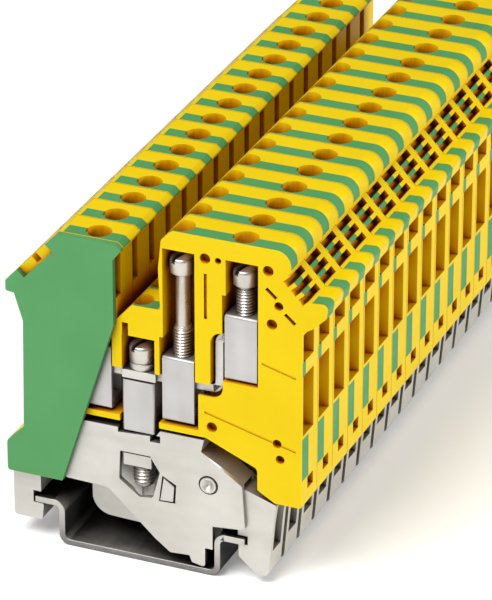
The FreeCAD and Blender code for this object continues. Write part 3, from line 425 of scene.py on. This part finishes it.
def detailed_screw(node, body, levels_of):
    """A screw with a helical thread that stands for a CAD screw."""
    low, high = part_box(node)
    x = (low.x + high.x) / 2
    y = (low.y + high.y) / 2
    levels, head_radius = levels_of(low.z, high.z, (high.x - low.x) / 2)
    mesh = turned_mesh(node + "_cut", levels, x, y)
    piece = bpy.data.objects.new(node + "_cut", mesh)
    bpy.context.scene.collection.objects.link(piece)
    cut_slot(piece, slot_cutter(x, y, high.z, head_radius))
    piece.data.materials.clear()
    piece.data.materials.append(SCREW_STEEL)
    bevel = piece.modifiers.new("edges", "BEVEL")
    bevel.width = SCREW_EDGE
    bevel.segments = EDGE_SEGMENTS
    bevel.limit_method = "ANGLE"
    bevel.angle_limit = SCREW_EDGE_ANGLE
    bevel.harden_normals = True
    for polygon in piece.data.polygons:
        polygon.use_smooth = True
    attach(piece, body)
    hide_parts(node)
    return piece


def long_clamp_levels(low, high, radius):
    """Thread below, plain neck above it, and the head."""
    head_bottom = high - CLAMP_HEAD_HEIGHT
    levels = [plain_level(low, CLAMP_THREAD_RADIUS - THREAD_TIP_TAPER)]
    levels += thread_levels(CLAMP_THREAD_RADIUS, CLAMP_PITCH, low + THREAD_TIP_LENGTH, CLAMP_THREAD_END)
    levels.append(plain_level(CLAMP_THREAD_END + NECK_STEP, CLAMP_NECK_RADIUS))
    levels.append(plain_level(head_bottom - NECK_FILLET, CLAMP_NECK_RADIUS))
    levels.append(plain_level(head_bottom, CLAMP_NECK_RADIUS + NECK_FILLET))
    return levels + head_levels(head_bottom, high, radius), radius


def short_clamp_levels(low, high, radius):
    """Thread right up to the head."""
    head_bottom = high - CLAMP_HEAD_HEIGHT
    levels = [plain_level(low, CLAMP_THREAD_RADIUS - THREAD_TIP_TAPER)]
    levels += thread_levels(CLAMP_THREAD_RADIUS, CLAMP_PITCH, low + THREAD_TIP_LENGTH, head_bottom)
    return levels + head_levels(head_bottom + HEAD_STEP, high, radius), radius


def foot_levels(low, high, radius):
    """The foot screw's thread and head."""
    head_bottom = high - FOOT_HEAD_HEIGHT
    levels = [plain_level(low, FOOT_THREAD_RADIUS - FOOT_TIP_TAPER)]
    levels += thread_levels(FOOT_THREAD_RADIUS, FOOT_PITCH, low + FOOT_TIP_LENGTH, head_bottom)
    return levels + head_levels(head_bottom + HEAD_STEP, high, radius), radius


# ---- studio ----------------------------------------------------------------------------------
def studio_floor():
    """A plain pale floor."""
    mesh = bpy.data.meshes.new("floor")
    mesh.from_pydata([(-FLOOR_HALF, -FLOOR_HALF, 0), (FLOOR_HALF, -FLOOR_HALF, 0),
                      (FLOOR_HALF, FLOOR_HALF, 0), (-FLOOR_HALF, FLOOR_HALF, 0)], [],
                     [(0, 1, 2, 3)])
    floor = bpy.data.objects.new("floor", mesh)
    bpy.context.scene.collection.objects.link(floor)
    graph = Graph("pale_floor")
    cloud = graph.noise(3.0, 2.0)
    colour = graph.ramp(cloud, "Fac", [(0.3, (0.90, 0.90, 0.90)), (0.7, (0.93, 0.93, 0.93))])
    graph.join(colour, "Color", graph.shader, "Base Color")
    graph.set(Roughness=0.7, Specular_IOR_Level=0.1, Emission_Color=(1.0, 1.0, 1.0, 1.0),
              Emission_Strength=FLOOR_GLOW)
    mesh.materials.append(graph.material)


def area_light(name, place, aim, size, power):
    """A soft square light that points at a place."""
    data = bpy.data.lights.new(name, "AREA")
    data.size = size
    data.energy = power
    light = bpy.data.objects.new(name, data)
    light.location = place
    light.rotation_euler = (Vector(aim) - Vector(place)).to_track_quat("-Z", "Y").to_euler()
    bpy.context.scene.collection.objects.link(light)


def studio_light():
    """A dim white room, a soft key light from the front left above and a smaller one from the right."""
    world = bpy.data.worlds.new("studio")
    world.use_nodes = True
    background = world.node_tree.nodes["Background"]
    background.inputs["Color"].default_value = (1.0, 1.0, 1.0, 1.0)
    background.inputs["Strength"].default_value = ROOM_STRENGTH
    bpy.context.scene.world = world
    area_light("key", KEY_PLACE, LIGHT_AIM, KEY_SIZE, KEY_POWER)
    area_light("fill", FILL_PLACE, LIGHT_AIM, FILL_SIZE, FILL_POWER)


def place_camera():
    """The camera, at the angle that the object is shown from."""
    first_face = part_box("housing_01")[0].y
    aim = Vector((AIM_X, first_face, AIM_Z))
    forward = Vector((-math.sin(AZIMUTH) * math.cos(ELEVATION), math.cos(AZIMUTH) * math.cos(ELEVATION),
                      -math.sin(ELEVATION)))
    data = bpy.data.cameras.new("camera")
    data.lens = CAMERA_LENS
    data.sensor_width = 36.0
    data.clip_end = 20.0
    camera = bpy.data.objects.new("camera", data)
    camera.location = aim - forward * CAMERA_DISTANCE
    camera.rotation_euler = forward.to_track_quat("-Z", "Y").to_euler()
    bpy.context.scene.collection.objects.link(camera)
    bpy.context.scene.camera = camera


# ---- the whole scene -------------------------------------------------------------------------
place_camera()
dress_cad_nodes()
detailed_screw("inner_clamp_screw", "inner_screw", long_clamp_levels)
detailed_screw("left_clamp_screw", "left_screw", long_clamp_levels)
detailed_screw("outer_clamp_screw", "outer_screw", short_clamp_levels)
detailed_screw("foot_screw", "foot_screw_and_head", foot_levels)
studio_floor()
studio_light()
bpy.context.scene.view_settings.view_transform = "Standard"
